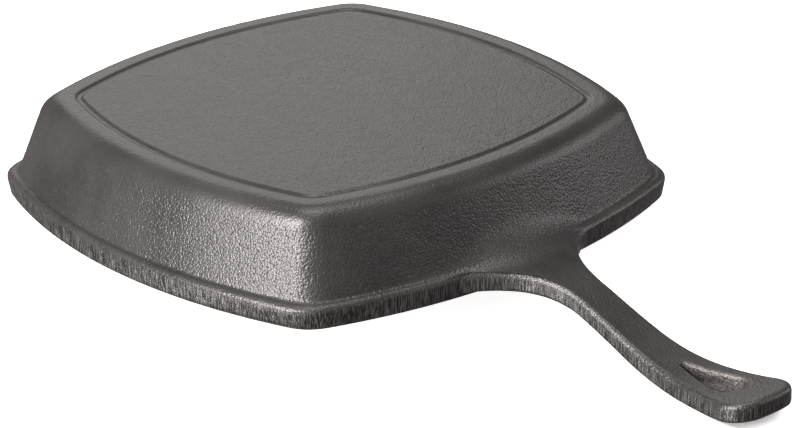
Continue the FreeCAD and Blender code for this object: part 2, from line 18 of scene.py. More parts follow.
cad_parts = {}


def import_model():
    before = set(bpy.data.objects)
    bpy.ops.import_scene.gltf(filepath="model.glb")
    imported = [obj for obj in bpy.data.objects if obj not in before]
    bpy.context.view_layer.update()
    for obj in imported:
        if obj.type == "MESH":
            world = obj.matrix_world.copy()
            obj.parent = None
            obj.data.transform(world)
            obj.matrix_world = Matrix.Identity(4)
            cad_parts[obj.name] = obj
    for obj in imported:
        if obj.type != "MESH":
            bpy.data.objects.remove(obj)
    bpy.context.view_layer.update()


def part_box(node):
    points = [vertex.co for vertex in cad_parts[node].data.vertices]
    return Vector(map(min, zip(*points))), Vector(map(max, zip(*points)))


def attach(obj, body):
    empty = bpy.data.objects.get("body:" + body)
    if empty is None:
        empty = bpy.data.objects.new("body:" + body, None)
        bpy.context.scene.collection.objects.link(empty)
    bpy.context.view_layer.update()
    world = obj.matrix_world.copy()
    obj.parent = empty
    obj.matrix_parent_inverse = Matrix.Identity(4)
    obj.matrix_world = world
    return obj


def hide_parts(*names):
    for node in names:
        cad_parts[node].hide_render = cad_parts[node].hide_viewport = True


log = logging.getLogger("skillet")

MM = 0.001
TINY = 1e-9
TINT = (1.0, 0.955, 0.95)
CASTING = "skillet_casting"
IRON_SLOT = "seasoned_iron"

Points = np.ndarray
Ring = tuple[np.ndarray, "Face"]


class Face(Enum):
    """What a face of the casting is, for its grain and its finish."""

    WALL = 0
    BASE = 1
    SOFT_EDGE = 2
    BEAD = 3
    GROUND = 4
    HANDLE_TOP = 5
    HANDLE_BAND = 6
    HANDLE_SIDE = 7
    WELL = 8
    HOLE = 9


@dataclass(frozen=True)
class Touch:
    """How grainy, how ground and how bare one kind of face is, each from 0 to 1."""

    grain: float
    ground: float
    bare: float = 0.0


TOUCHES: dict[Face, Touch] = {
    Face.WALL: Touch(grain=1.0, ground=0.0),
    Face.BASE: Touch(grain=0.8, ground=0.0),
    Face.SOFT_EDGE: Touch(grain=0.5, ground=0.0),
    Face.BEAD: Touch(grain=0.8, ground=0.12),
    Face.GROUND: Touch(grain=0.2, ground=1.0),
    Face.HANDLE_TOP: Touch(grain=0.6, ground=0.0),
    Face.HANDLE_BAND: Touch(grain=0.75, ground=0.35),
    Face.HANDLE_SIDE: Touch(grain=0.25, ground=0.85),
    Face.WELL: Touch(grain=0.5, ground=0.0),
    Face.HOLE: Touch(grain=1.0, ground=0.2, bare=1.0),
}


# ---- flat outlines and the skins built on them -------------------------------------------------

@dataclass(frozen=True)
class BowedSquare:
    """A square with four bowed sides and four rounded corners, each tangent to the next.

    half is the distance from the centre to the middle of a side, bow the radius of a side and
    corner the radius of a corner.
    """

    half: float
    bow: float
    corner: float

    def points(self, count: int) -> Points:
        """Walk round the outline at an even pace.

        Args:
            count: number of points, a multiple of four; the first is a corner's middle.

        Returns:
            The points as (count, 2), counter-clockwise.
        """
        inset = self.half - self.bow
        centre = (inset + math.sqrt(2 * (self.bow - self.corner) ** 2 - inset ** 2)) / 2
        swing = math.atan2(centre, centre - inset)
        bend = self.corner * (math.pi / 4 - swing)
        side = 2 * self.bow * swing
        along = np.arange(count // 4) / (count // 4) * (2 * bend + side)
        first = -math.pi / 4 + along / self.corner
        middle = -swing + (along - bend) / self.bow
        last = swing + (along - bend - side) / self.corner
        in_first, in_last = along < bend, along > bend + side
        angle = np.where(in_first, first, np.where(in_last, last, middle))
        radius = np.where(in_first | in_last, self.corner, self.bow)
        x = np.where(in_first | in_last, centre, inset) + radius * np.cos(angle)
        y = np.where(in_first, -centre, np.where(in_last, centre, 0.0)) + radius * np.sin(angle)
        turns = [(1, 0), (0, 1), (-1, 0), (0, -1)]
        return np.concatenate([np.c_[c * x - s * y, s * x + c * y] for c, s in turns])


def patch(loop: Points, long: int, wide: int) -> Points:
    """Fill a four-sided loop with a grid that keeps the loop as its border.

    Args:
        loop: (2 * (long + wide), 2) points that run along one long side, one end, the other
            long side and the other end.
        long: steps along a long side.
        wide: steps along an end.

    Returns:
        The grid as (long + 1, wide + 1, 2).
    """
    closed = np.vstack([loop, loop[:1]])
    low = closed[: long + 1]
    end = closed[long : long + wide + 1]
    high = closed[long + wide : 2 * long + wide + 1][::-1]
    start = closed[2 * long + wide :][::-1]
    u = np.linspace(0, 1, long + 1)[:, None, None]
    v = np.linspace(0, 1, wide + 1)[None, :, None]
    across = (1 - v) * low[:, None] + v * high[:, None]
    down = (1 - u) * start[None] + u * end[None]
    corners = (1 - u) * ((1 - v) * low[0] + v * high[0]) + u * ((1 - v) * low[-1] + v * high[-1])
    return across + down - corners


class Skin:
    """One closed skin, built from a cap, a stack of rings and another cap."""

    def __init__(self) -> None:
        """Start with nothing."""
        self.points: list[Points] = []
        self.faces: list[tuple[int, ...]] = []
        self.kinds: list[int] = []
        self.count = 0

    def add(self, points: Points) -> np.ndarray:
        """Add points to the skin.

        Args:
            points: the new points, (n, 3).

        Returns:
            The numbers of the new points.
        """
        self.points.append(points)
        numbers = np.arange(self.count, self.count + len(points))
        self.count += len(points)
        return numbers

    def cover(self, kind: Face, *batches: Iterable[tuple[int, ...]]) -> None:
        """Add faces of one kind.

        Args:
            kind: what the faces are.
            batches: the faces, each as the numbers of its points.
        """
        for batch in batches:
            faces = [tuple(int(number) for number in face) for face in batch]
            self.faces += faces
            self.kinds += [kind.value] * len(faces)

    def bridge(self, upper: np.ndarray, lower: np.ndarray, kind: Face) -> None:
        """Join two rings that run counter-clockwise, seen from above.

        Args:
            upper: numbers of the inner or upper ring.
            lower: numbers of the outer or lower ring, as many as in upper, three times as
                many, or a third of them.
            kind: what the new faces are.
        """
        upper_next, lower_next = np.roll(upper, -1), np.roll(lower, -1)
        if len(upper) == len(lower):
            self.cover(kind, zip(upper, lower, lower_next, upper_next))
        elif len(lower) == 3 * len(upper):
            a, b, c, d = lower[0::3], lower[1::3], lower[2::3], np.roll(lower[0::3], -1)
            self.cover(kind, zip(upper, a, b), zip(upper, b, c, upper_next), zip(upper_next, c, d))
        else:
            a, b, c, d = upper[0::3], upper[1::3], upper[2::3], np.roll(upper[0::3], -1)
            self.cover(kind, zip(a, lower, b), zip(b, lower, lower_next, c), zip(c, lower_next, d))

    def stack(self, rings: Sequence[Ring]) -> None:
        """Join each ring to the next; the faces between two are of the lower one's kind."""
        for (upper, _), (lower, kind) in zip(rings, rings[1:]):
            self.bridge(upper, lower, kind)

    def cap(self, ring: np.ndarray, grid: Points, kind: Face, upwards: bool = True) -> None:
        """Close a ring with a grid whose border it already holds.

        Args:
            ring: numbers of the ring, in the order that patch() takes its loop.
            grid: (long + 1, wide + 1, 3) points.
            kind: what the new faces are.
            upwards: whether the cap faces +Z.
        """
        long, wide = grid.shape[0] - 1, grid.shape[1] - 1
        numbers = np.zeros((long + 1, wide + 1), int)
        numbers[1:-1, 1:-1] = self.add(grid[1:-1, 1:-1].reshape(-1, 3)).reshape(long - 1, wide - 1)
        numbers[:, 0] = ring[: long + 1]
        numbers[-1, :] = ring[long : long + wide + 1]
        numbers[::-1, -1] = ring[long + wide : 2 * long + wide + 1]
        numbers[0, ::-1] = np.append(ring[2 * long + wide :], ring[0])
        a, b, c, d = numbers[:-1, :-1], numbers[1:, :-1], numbers[1:, 1:], numbers[:-1, 1:]
        quads = np.stack([a, b, c, d], axis=-1).reshape(-1, 4)
        self.cover(kind, quads if upwards else quads[:, ::-1])

    def to_object(self, name: str) -> bpy.types.Object:
        """Make the skin an object of the scene, its faces marked with their kinds.

        Args:
            name: the object's name.

        Returns:
            The new object.
        """
        mesh = bpy.data.meshes.new(name)
        mesh.from_pydata(np.concatenate(self.points).tolist(), [], self.faces)
        for kind in Face:
            mesh.materials.append(marker(kind))
        mesh.polygons.foreach_set("material_index", self.kinds)
        return new_object(name, mesh)


def marker(kind: Face) -> bpy.types.Material:
    """Return the stand-in material that carries a kind of face through the cuts."""
    name = f"mark_{kind.name.lower()}"
    return bpy.data.materials.get(name) or bpy.data.materials.new(name)


def new_object(name: str, data: bpy.types.ID) -> bpy.types.Object:
    """Put a mesh, a lamp or a camera in the scene.

    Args:
        name: the object's name.
        data: what the object shows.

    Returns:
        The new object.
    """
    made = bpy.data.objects.new(name, data)
    bpy.context.scene.collection.objects.link(made)
    return made


def raised(flat: Points, height: float | Points) -> Points:
    """Give flat points a height, one for all of them or one for each."""
    return np.concatenate([flat, np.broadcast_to(height, flat.shape[:-1])[..., None]], axis=-1)


def arc_points(centre: Sequence[float], radius: float, start: float, stop: float, steps: int) -> Points:
    """Return points along an arc, its angles in degrees, both ends included."""
    angle = np.radians(np.linspace(start, stop, steps + 1))
    return np.c_[centre[0] + radius * np.cos(angle), centre[1] + radius * np.sin(angle)]


# ---- the pan -----------------------------------------------------------------------------------

@dataclass
class Pan:
    """The pan: a flared, bowed box with a grooved base, a bead and a ground edge."""

    half: float
    depth: float
    rim_bow: float = 291 * MM
    rim_corner: float = 20 * MM
    bead_bow: float = 312 * MM
    edge_height: float = 7.5 * MM
    flange: float = 11 * MM
    bead_round: float = 2.6 * MM
    setback: float = 4.0 * MM
    foot_bow: float = 289 * MM
    foot_corner: float = 20 * MM
    foot_round: float = 1.6 * MM
    flare: float = 12.5 * MM
    base_bow: float = 255 * MM
    base_corner: float = 18 * MM
    base_round: float = 11 * MM
    wall: float = 4.2 * MM
    floor: float = 4.5 * MM
    well_round: float = 8 * MM
    groove_setback: float = 15.3 * MM
    groove_bow: float = 242 * MM
    groove_corner: float = 13 * MM
    groove_round: float = 2.4 * MM
    groove_depth: float = 0.85 * MM
    lip_round: float = 0.7 * MM
    edge_gap: float = 0.8 * MM
    rim_insets: tuple[float, float] = (2 * MM, 7 * MM)
    slack: float = 0.01 * MM
    around: int = 528
    well_around: int = 264

    @property
    def foot(self) -> float:
        """Half the pan's width at the foot of the wall."""
        return self.half - self.setback

    @property
    def crown(self) -> float:
        """Half the width that the wall would reach at the base, without its rounded edge."""
        return self.foot - self.flare

    @property
    def slope(self) -> float:
        """How far the wall leans in for each unit of height."""
        return self.flare / (self.depth - self.flange)

    @property
    def slant(self) -> float:
        """How long the wall is for each unit of height."""
        return math.sqrt(1 + self.slope ** 2)

    @property
    def lean(self) -> float:
        """The angle between the wall and the upright, in degrees."""
        return math.degrees(math.atan(self.slope))

    def tangent(self, radius: float) -> float:
        """Return how far from their corner a rounding between a level face and the wall ends."""
        return radius * math.tan(math.radians(90 - self.lean) / 2)

    def wall_line(self, height: float) -> float:
        """Return half the pan's width on the outer wall at a height."""
        return self.foot - self.slope * (height - self.flange)

    def outline(self, half: float, height: float) -> BowedSquare:
        """Return the outline of the outside of the pan.

        Args:
            half: distance from the centre to the middle of a side.
            height: height above the rim.

        Returns:
            The outline, with the bow and the corners that belong to that place.
        """
        if height < self.flange + self.slack and half > self.foot:
            share = (half - self.foot) / self.setback
            rise = min(height / self.edge_height, 1)
            rim = self.rim_bow + (self.bead_bow - self.rim_bow) * rise
            return BowedSquare(half, self.foot_bow + (rim - self.foot_bow) * share, self.rim_corner)
        rise = max(0, (height - self.flange) / (self.depth - self.flange))
        inward = min(0, half - self.crown) / self.groove_setback
        bow = self.foot_bow + (self.base_bow - self.foot_bow) * rise
        corner = self.foot_corner + (self.base_corner - self.foot_corner) * rise
        bow += (self.base_bow - self.groove_bow) * inward
        corner += (self.base_corner - self.groove_corner) * inward
        return BowedSquare(half, bow, corner)

    def groove_profile(self) -> Points:
        """Return the groove's section.

        Returns:
            Half-widths and heights, (n, 2), from the inner to the outer edge.
        """
        middle = self.crown - self.groove_setback
        lift = self.groove_round - self.groove_depth
        reach = math.degrees(math.acos(lift / self.groove_round))
        centre = (middle, self.depth + lift)
        return arc_points(centre, self.groove_round, 270 - reach, 270 + reach, steps=8)

    def outer_profile(self) -> list[tuple[float, float, Face]]:
        """Return the pan's outer section from the groove down to the bead.

        Returns:
            Half-widths and heights, each with the kind of the faces that lead to it.
        """
        groove = self.groove_profile()
        edge_centre = (self.crown - self.tangent(self.base_round), self.depth - self.base_round)
        edge = arc_points(edge_centre, self.base_round, 90, self.lean, steps=10)
        land = np.linspace(groove[-1], edge[0], num=5)[1:-1]
        foot_centre = (self.foot + self.tangent(self.foot_round), self.flange + self.foot_round)
        foot = arc_points(foot_centre, self.foot_round, 180 + self.lean, 270, steps=4)
        wall = np.linspace(edge[-1], foot[0], num=27)[1:-1]
        bead_centre = (self.half - self.bead_round, self.flange - self.bead_round)
        bead = arc_points(bead_centre, self.bead_round, 90, 0, steps=6)
        parts = [
            (np.vstack([groove, land, edge]), Face.SOFT_EDGE),
            (np.vstack([wall, foot]), Face.WALL),
            (bead, Face.BEAD),
        ]
        return [(half, height, kind) for points, kind in parts for half, height in points]

    def ring(
        self, skin: Skin, half: float, height: float, count: int, level: float | None = None
    ) -> np.ndarray:
        """Add one ring of the outside to a skin.

        Args:
            skin: the skin to add to.
            half: distance from the centre to the middle of a side.
            height: height of the ring.
            count: number of points.
            level: the height that the outline is taken at, if it isn't the ring's own.

        Returns:
            The numbers of the ring's points.
        """
        flat = self.outline(half, height if level is None else level).points(count)
        return skin.add(raised(flat, height))

    def block(self) -> bpy.types.Object:
        """Build the outside of the pan.

        Returns:
            A closed block, with no well in it yet.
        """
        skin = Skin()
        profile = self.outer_profile()
        rings = [(self.ring(skin, half, height, self.around), kind) for half, height, kind in profile]
        flat = self.outline(*profile[0][:2]).points(self.around)
        grid = patch(flat, self.around // 4, self.around // 4)
        skin.cap(rings[0][0], raised(grid, self.depth), Face.BASE)
        edge_top = self.flange - self.bead_round - self.edge_gap
        for height in np.linspace(edge_top, self.lip_round, num=5):
            rings.append((self.ring(skin, self.half, height, 3 * self.around), Face.GROUND))
        lip = arc_points((self.half - self.lip_round, self.lip_round), self.lip_round, -30, -90, steps=2)
        for half, height in [*lip, *((self.half - inset, 0.0) for inset in self.rim_insets)]:
            rings.append((self.ring(skin, half, height, self.around, level=0.0), Face.GROUND))
        skin.stack(rings)
        skin.cover(Face.GROUND, [rings[-1][0][::-1]])
        return skin.to_object("pan_block")

    def well_core(self) -> bpy.types.Object:
        """Build the core of the cooking well.

        Returns:
            A closed block that leaves the well when it is taken away, its lip chamfered.
        """
        across = self.wall * self.slant
        top = self.depth - self.floor
        corner = self.wall_line(top) - across - self.tangent(self.well_round)
        edge = arc_points((corner, top - self.well_round), self.well_round, 90, self.lean, steps=8)
        mouth = self.wall_line(0) - across
        straight = np.linspace(edge[-1], (mouth, self.lip_round), num=14)[1:]
        chamfer, beyond = 0.5 * self.lip_round, 3 * self.lip_round
        lip = [(mouth + chamfer, 0.0), (mouth + 5 * chamfer, -beyond)]
        skin, rings, flats = Skin(), [], []
        for half, height in np.vstack([edge, straight, lip]):
            outer = self.outline(half + across, max(height, self.flange + 2 * self.slack))
            inner = BowedSquare(half, outer.bow - across, outer.corner - across)
            flats.append(inner.points(self.well_around))
            rings.append((skin.add(raised(flats[-1], height)), Face.WELL))
        grid = patch(flats[0], self.well_around // 4, self.well_around // 4)
        skin.cap(rings[0][0], raised(grid, top), Face.WELL)
        skin.stack(rings)
        skin.cover(Face.WELL, [rings[-1][0][::-1]])
        return skin.to_object("well_core")


# ---- the handle --------------------------------------------------------------------------------

@dataclass(frozen=True)
class Arc:
    """Part of a circle, its angles in degrees; hollow if the iron lies outside the circle."""

    centre: tuple[float, float]
    radius: float
    start: float
    stop: float
    hollow: bool = False

    def walk(self, steps: int) -> tuple[Points, Points]:
        """Return points along the arc and the iron's outward normals there."""
        points = arc_points(self.centre, self.radius, self.start, self.stop, steps)
        return points, (-1 if self.hollow else 1) * (points - self.centre) / self.radius


@dataclass(frozen=True)
class HandlePlan:
    """The handle from above: where its side leaves the pan, its +Y side and its tip."""

    root: tuple[float, float]
    side: tuple[Arc, ...]
    tip: tuple[Arc, ...]


@dataclass
class Handle:
    """The handle: flared at its root, an S from the side, a paddle with a teardrop hole."""

    pan: Pan
    tip: float
    inner_end: float = 112 * MM
    thick: float = 9.0 * MM
    root_top: float = 10.6 * MM
    root_level: float = 9.0 * MM
    drop: float = 21.8 * MM
    rise_run: float = 42.0 * MM
    rise_radius: float = 185 * MM
    steepness: float = 0.8
    bite: float = 1.0 * MM
    flare_radius: float = 47 * MM
    neck_half: float = 9.9 * MM
    paddle_half: float = 18.8 * MM
    tip_corner: float = 13 * MM
    end_radius: float = 70 * MM
    top_round: float = 3.2 * MM
    under_round: float = 1.0 * MM
    saddle_radius: float = 24 * MM
    saddle_reach: float = 43 * MM
    saddle_limit: float = 60 * MM
    least_radius: float = 1e-6
    hole_radius: float = 8.4 * MM
    hole_wall: float = 18.0 * MM
    hole_length: float = 37.0 * MM
    hole_point: float = 1.2 * MM
    hole_flare: float = 1.5 * MM
    hole_taper: float = 0.9 * MM
    along: int = 230
    across: int = 40
    hole_around: int = 120

    def level(self, x: Points) -> Points:
        """Return the height of the handle's top, without the saddle.

        Args:
            x: distances from the pan's centre.

        Returns:
            The height at each: level, down an S, and up again towards the tip.
        """
        bend = self.pan.half + self.root_level
        low = self.tip - self.rise_run
        run = low - bend
        lean = self.steepness * 2 * math.atan(self.drop / run)
        radius = (run * math.sin(lean) - self.drop * math.cos(lean)) / (2 * (1 - math.cos(lean)))
        leave, meet = bend + radius * math.sin(lean), low - radius * math.sin(lean)
        past_bend = np.clip(x - bend, 0, radius)
        first = self.root_top - radius + np.sqrt(np.maximum(radius ** 2 - past_bend ** 2, 0))
        straight = self.root_top - radius * (1 - math.cos(lean)) - (x - leave) * math.tan(lean)
        bottom = self.root_top - self.drop
        before_low = np.clip(low - x, -radius, radius)
        dip = bottom + radius - np.sqrt(np.maximum(radius ** 2 - before_low ** 2, 0))
        past_low = np.clip(x - low, 0, None)
        lift = bottom + self.rise_radius - np.sqrt(self.rise_radius ** 2 - past_low ** 2)
        rest = np.where(x < meet, straight, np.where(x < low, dip, lift))
        return np.where(x < leave, first, rest)

    def saddle(self, y: Points) -> tuple[Points, Points, Points]:
        """Work out the section of the fillet between the wall and the handle's top.

        Args:
            y: distances from the handle's middle.

        Returns:
            At each, where the wall would meet the top, the fillet's radius and how far beyond
            the meeting its centre lies.
        """
        pan = self.pan
        aside = np.clip(y, -self.saddle_limit, self.saddle_limit)
        bow_in = pan.foot_bow - np.sqrt(pan.foot_bow ** 2 - aside ** 2)
        foot = pan.wall_line(self.root_top) - bow_in
        radius = self.saddle_radius * np.clip(1 - (y / self.saddle_reach) ** 2, 0, 1) + self.least_radius
        return foot, radius, radius * (pan.slant - pan.slope)

    def fill_saddle(self, points: Points) -> Points:
        """Push out points that lie behind the fillet between the wall and the handle's top.

        Args:
            points: (n, 3) points of the pan's wall and bead and of the handle's top.

        Returns:
            The points, those behind the fillet now on its surface.
        """
        foot, radius, reach = self.saddle(points[:, 1])
        aside = points[:, 0] - (foot + reach)
        above = points[:, 2] - (self.root_top + radius)
        far = np.hypot(aside, above)
        in_corner = (aside < 0) & (above < self.pan.slope * aside)
        scale = np.where(in_corner & (far > radius), radius / np.maximum(far, TINY), 1.0)
        moved = points.copy()
        moved[:, 0] = foot + reach + aside * scale
        moved[:, 2] = self.root_top + radius + above * scale
        return moved

    def plan(self) -> HandlePlan:
        """Lay out the arcs of the handle's outline, each tangent to the next.

        Returns:
            The outline, from the pan's side to the tip.
        """
        flare_y = self.neck_half + self.flare_radius
        span = self.pan.rim_bow - self.bite + self.flare_radius
        neck_x = self.pan.half - self.pan.rim_bow + math.sqrt(span ** 2 - flare_y ** 2)
        flare = math.asin(flare_y / span)
        root = (neck_x - self.flare_radius * math.cos(flare), flare_y - self.flare_radius * math.sin(flare))
        end_x = self.tip - self.end_radius
        corner_y = self.paddle_half - self.tip_corner
        corner_x = end_x + math.sqrt((self.end_radius - self.tip_corner) ** 2 - corner_y ** 2)
        gap = corner_y - self.neck_half
        long = ((corner_x - neck_x) ** 2 + gap ** 2 - self.tip_corner ** 2) / (2 * (self.tip_corner + gap))
        lean = math.degrees(math.atan2(corner_x - neck_x, self.neck_half + long - corner_y))
        turn = math.degrees(math.atan2(corner_y, corner_x - end_x))
        half_way = (turn + 90 + lean) / 2
        side = (
            Arc((neck_x, flare_y), self.flare_radius, 180 + math.degrees(flare), 270, hollow=True),
            Arc((neck_x, self.neck_half + long), long, 270, 270 + lean, hollow=True),
            Arc((corner_x, corner_y), self.tip_corner, 90 + lean, half_way),
        )
        tip = (
            Arc((corner_x, -corner_y), self.tip_corner, -half_way, -turn),
            Arc((end_x, 0.0), self.end_radius, -turn, turn),
            Arc((corner_x, corner_y), self.tip_corner, turn, half_way),
        )
        return HandlePlan(root, side, tip)

    def loop(self) -> tuple[Points, Points]:
        """Walk round the handle, seen from above.

        Returns:
            The points and the outward normals, in the order that patch() takes its loop.
        """
        plan = self.plan()
        inside = np.linspace((self.inner_end, plan.root[1]), plan.root, num=40)
        straight = (inside, np.tile((0.0, 1.0), (len(inside), 1)))
        side = [straight, *(arc.walk(steps=400) for arc in plan.side)]
        upper, upper_normals = even_path(side, self.along)
        tip, tip_normals = even_path([arc.walk(steps=300) for arc in plan.tip], self.across)
        flip = np.array((1.0, -1.0))
        root = np.linspace(upper[0], upper[0] * flip, self.across + 1)
        root_normals = np.tile((-1.0, 0.0), (self.across + 1, 1))
        sides = [
            (upper * flip, upper_normals * flip),
            (tip, tip_normals),
            (upper[::-1], upper_normals[::-1]),
            (root, root_normals),
        ]
        return np.vstack([points[:-1] for points, _ in sides]), np.vstack([found[:-1] for _, found in sides])

    def slab(self) -> bpy.types.Object:
        """Build the handle, its root inside the pan.

        Returns:
            A closed block with rounded edges, the upper ones larger.
        """
        points, normals = self.loop()
        skin, rings = Skin(), []
        for angle in np.radians(np.linspace(0, 90, num=7)):
            flat = points - normals * self.top_round * (1 - math.sin(angle))
            height = self.level(flat[:, 0]) - self.top_round * (1 - math.cos(angle))
            rings.append((skin.add(raised(flat, height)), Face.HANDLE_BAND))
        under = self.level(points[:, 0]) - self.thick
        shoulder = self.level(points[:, 0]) - self.top_round
        for share in np.linspace(0, 1, num=6)[1:]:
            height = shoulder + (under + self.under_round - shoulder) * share
            rings.append((skin.add(raised(points, height)), Face.HANDLE_SIDE))
        for angle in np.radians((35, 65, 90)):
            flat = points - normals * self.under_round * (1 - math.cos(angle))
            height = self.level(flat[:, 0]) - self.thick + self.under_round * (1 - math.sin(angle))
            rings.append((skin.add(raised(flat, height)), Face.HANDLE_SIDE))
        skin.stack(rings)
        grid = patch(points - normals * self.top_round, self.along, self.across)
        skin.cap(rings[0][0], raised(grid, self.level(grid[..., 0])), Face.HANDLE_TOP)
        grid = patch(points - normals * self.under_round, self.along, self.across)
        under_grid = raised(grid, self.level(grid[..., 0]) - self.thick)
        skin.cap(rings[-1][0], under_grid, Face.HANDLE_TOP, upwards=False)
        return skin.to_object("handle_slab")

    def hole_outline(self, grow: float, count: int) -> Points:
        """Walk round the teardrop.

        Args:
            grow: how much larger than the hole it is, all round.
            count: number of points.

        Returns:
            The points, (count, 2).
        """
        big, small = self.hole_radius + grow, self.hole_point + grow
        big_x = self.tip - self.hole_wall - self.hole_radius
        small_x = big_x + self.hole_radius - self.hole_length + self.hole_point
        swing = math.degrees(math.acos(-(big - small) / (big_x - small_x)))
        dense = np.vstack([
            arc_points((big_x, 0.0), big, -swing, swing, steps=200),
            arc_points((small_x, 0.0), small, swing, 360 - swing, steps=60),
            arc_points((big_x, 0.0), big, -swing, -swing, steps=1)[:1],
        ])
        return even(dense, dense, count)[0][:-1]

    def hole_cutter(self) -> bpy.types.Object:
        """Build the tool for the hole, flared where it meets either face.

        Returns:
            A closed block that leaves the hole when it is taken away.
        """
        flare, deep, taper = self.hole_flare, self.thick, self.hole_taper
        beyond = 1.2 * flare
        angles = np.radians((0, 30, 60, 90))
        # Each pair is how much larger than the hole the tool is, and how deep under the top.
        section = [(flare + beyond, -beyond)]
        section += [(flare * (1 - math.sin(angle)), flare * (1 - math.cos(angle))) for angle in angles]
        section += [(-taper * share, deep * share) for share in (0.3, 0.45, 0.6, 0.75)]
        section += [(0.5 * flare - taper, deep), (1.6 * flare - taper, deep + beyond)]
        skin, rings = Skin(), []
        for grow, sink in section:
            flat = self.hole_outline(grow, self.hole_around)
            rings.append((skin.add(raised(flat, self.level(flat[:, 0]) - sink)), Face.HOLE))
        skin.stack(rings)
        skin.cover(Face.HOLE, [rings[0][0], rings[-1][0][::-1]])
        return skin.to_object("hole_cutter")


def even_path(pieces: Sequence[tuple[Points, Points]], steps: int) -> tuple[Points, Points]:
    """Join pieces of a path, each its points and normals, and resample it at even steps."""
    return even(np.vstack([piece[0] for piece in pieces]), np.vstack([piece[1] for piece in pieces]), steps)


def even(dense: Points, carried: Points, steps: int) -> tuple[Points, Points]:
    """Resample a path at even steps.

    Args:
        dense: the path, (n, 2).
        carried: a pair of values at each of its points, (n, 2).
        steps: number of even steps.

    Returns:
        The new points and the values there, each (steps + 1, 2).
    """
    length = np.r_[0, np.cumsum(np.linalg.norm(np.diff(dense, axis=0), axis=1))]
    at = np.linspace(0, length[-1], steps + 1)
    points = np.c_[np.interp(at, length, dense[:, 0]), np.interp(at, length, dense[:, 1])]
    values = np.c_[np.interp(at, length, carried[:, 0]), np.interp(at, length, carried[:, 1])]
    return points, values


# ---- nodes -------------------------------------------------------------------------------------

class Flow:
    """One number on its way through a node tree, which ordinary sums can be written with."""

    def __init__(self, tree: "Tree", socket: bpy.types.NodeSocket) -> None:
        """Wrap a socket of a tree."""
        self.tree = tree
        self.socket = socket

    def maths(self, operation: str, *values: "Flow | float") -> "Flow":
        """Add a Math node whose first value is this one."""
        found = self.tree.node("ShaderNodeMath", {"operation": operation}, dict(enumerate((self, *values))))
        return Flow(self.tree, found.outputs[0])

    def __add__(self, other: "Flow | float") -> "Flow":
        """Return self + other."""
        return self.maths("ADD", other)

    __radd__ = __add__

    def __mul__(self, other: "Flow | float") -> "Flow":
        """Return self * other."""
        return self.maths("MULTIPLY", other)

    __rmul__ = __mul__

    def __sub__(self, other: "Flow | float") -> "Flow":
        """Return self - other."""
        return self.maths("SUBTRACT", other)

    def __rsub__(self, other: float) -> "Flow":
        """Return other - self."""
        return (self * -1.0) + other

    def between(self, low: float, high: float) -> "Flow":
        """Step smoothly from 0 to 1.

        Args:
            low: where the step begins.
            high: where it ends.

        Returns:
            0 up to low, 1 from high on, and smooth between them.
        """
        inputs = {"Value": self, "From Min": low, "From Max": high}
        found = self.tree.node("ShaderNodeMapRange", {"interpolation_type": "SMOOTHSTEP"}, inputs)
        return Flow(self.tree, found.outputs["Result"])


class Tree:
    """Adds nodes to a node tree."""

    def __init__(self, tree: bpy.types.NodeTree) -> None:
        """Start on a tree."""
        self.tree = tree

    def node(
        self, kind: str, settings: dict[str, Any] | None = None, inputs: dict[Any, Any] | None = None
    ) -> bpy.types.Node:
        """Add a node.

        Args:
            kind: the node's type.
            settings: its properties, which are set first.
            inputs: values or links of its sockets, by name or number.

        Returns:
            The new node.
        """
        made = self.tree.nodes.new(kind)
        for name, value in (settings or {}).items():
            setattr(made, name, value)
        for key, value in (inputs or {}).items():
            source = value.socket if isinstance(value, Flow) else value
            if isinstance(source, bpy.types.NodeSocket):
                self.tree.links.new(source, made.inputs[key])
            else:
                made.inputs[key].default_value = source
        return made

    def noise(
        self, place: bpy.types.NodeSocket, size: float, detail: float, rough: float, seed: float
    ) -> Flow:
        """Add a noise.

        Args:
            place: the position socket.
            size: rough size of one patch, in metres.
            detail: number of finer layers.
            rough: weight of the finer layers.
            seed: the fourth coordinate.

        Returns:
            The noise, from about 0.2 to 0.8.
        """
        inputs = {"Vector": place, "Scale": 1 / size, "Detail": detail, "Roughness": rough, "W": seed}
        found = self.node("ShaderNodeTexNoise", {"noise_dimensions": "4D"}, inputs)
        return Flow(self, found.outputs[0])

    def pebbles(self, place: bpy.types.NodeSocket, size: float) -> Flow:
        """Return how far each place is from the middle of its pebble, in pebble sizes."""
        found = self.node("ShaderNodeTexVoronoi", None, {"Vector": place, "Scale": 1 / size})
        return Flow(self, found.outputs["Distance"])

    def stretched(self, place: bpy.types.NodeSocket, scale: Sequence[float]) -> bpy.types.NodeSocket:
        """Return a position with each of its axes scaled."""
        found = self.node("ShaderNodeVectorMath", {"operation": "MULTIPLY"}, {0: place, 1: tuple(scale)})
        return found.outputs[0]

    def mix(self, factor: "Flow | float", first: Any, second: Any) -> bpy.types.NodeSocket:
        """Return a colour between two colours."""
        settings = {"data_type": "RGBA", "clamp_factor": True}
        return self.node("ShaderNodeMix", settings, {0: factor, 6: first, 7: second}).outputs[2]

    def surface(self, inputs: dict[str, Any]) -> None:
        """Finish a material's tree with its shader."""
        shader = self.node("ShaderNodeBsdfPrincipled", None, inputs)
        self.node("ShaderNodeOutputMaterial", None, {"Surface": shader.outputs[0]})


def new_material(name: str) -> tuple[bpy.types.Material, Tree]:
    """Make a material without nodes.

    Args:
        name: the material's name.

    Returns:
        The material and its tree.
    """
    material = bpy.data.materials.new(name)
    material.use_nodes = True
    material.node_tree.nodes.clear()
    return material, Tree(material.node_tree)


def grey(value: float, warm: float = 0.0) -> tuple[float, float, float, float]:
    """Return a grey, turned towards brown by warm."""
    return (value * (1 + warm), value, value * (1 - warm), 1.0)


# ---- the finish --------------------------------------------------------------------------------

